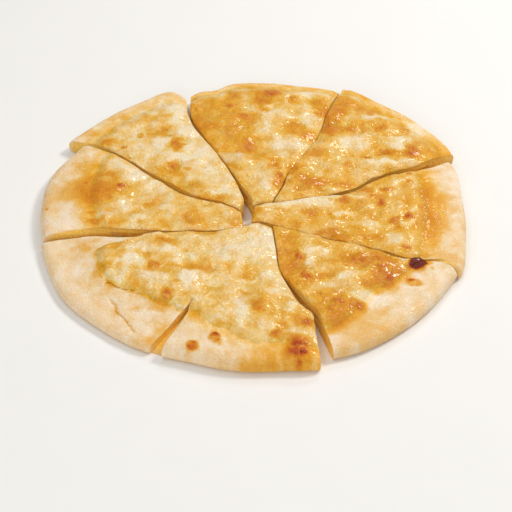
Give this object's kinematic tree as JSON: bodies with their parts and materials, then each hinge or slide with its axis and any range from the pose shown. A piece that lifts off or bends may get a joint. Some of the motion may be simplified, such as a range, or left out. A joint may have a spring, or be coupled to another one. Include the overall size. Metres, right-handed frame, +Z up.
{
  "type": "khachapuri",
  "caption": "Round flat cheese-filled bread with browned melted cheese on top, cut into wedges that still lie together.",
  "frame": {"origin": "centre of the bread's footprint, on the surface that it rests on", "axes": "+Z up through the bread's thickness, -Y towards the front wedge pair with the slit, +X to the right of someone looking along +Y"},
  "size_m": [0.2783, 0.2858, 0.0162],
  "materials": {
    "baked_dough": "baked wheat dough, pale gold with browned spots, matt to satin",
    "inner_cheese": "soft warm cheese, amber yellow, slightly moist",
    "melted_cheese": "melted cheese baked on top, golden with brown blisters, oily gloss"
  },
  "bodies": {
    "root": {"slice_north_dough": "baked_dough", "slice_north_filling": "inner_cheese", "slice_north_topping": "melted_cheese", "slice_northeast_dough": "baked_dough", "slice_northeast_filling": "inner_cheese", "slice_northeast_topping": "melted_cheese", "slice_east_dough": "baked_dough", "slice_east_filling": "inner_cheese", "slice_east_topping": "melted_cheese", "slice_southeast_dough": "baked_dough", "slice_southeast_filling": "inner_cheese", "slice_southeast_topping": "melted_cheese", "slice_front_double_dough": "baked_dough", "slice_front_double_filling": "inner_cheese", "slice_front_double_topping": "melted_cheese", "slice_west_dough": "baked_dough", "slice_west_filling": "inner_cheese", "slice_west_topping": "melted_cheese", "slice_northwest_dough": "baked_dough", "slice_northwest_filling": "inner_cheese", "slice_northwest_topping": "melted_cheese"}
  },
  "joints": []
}
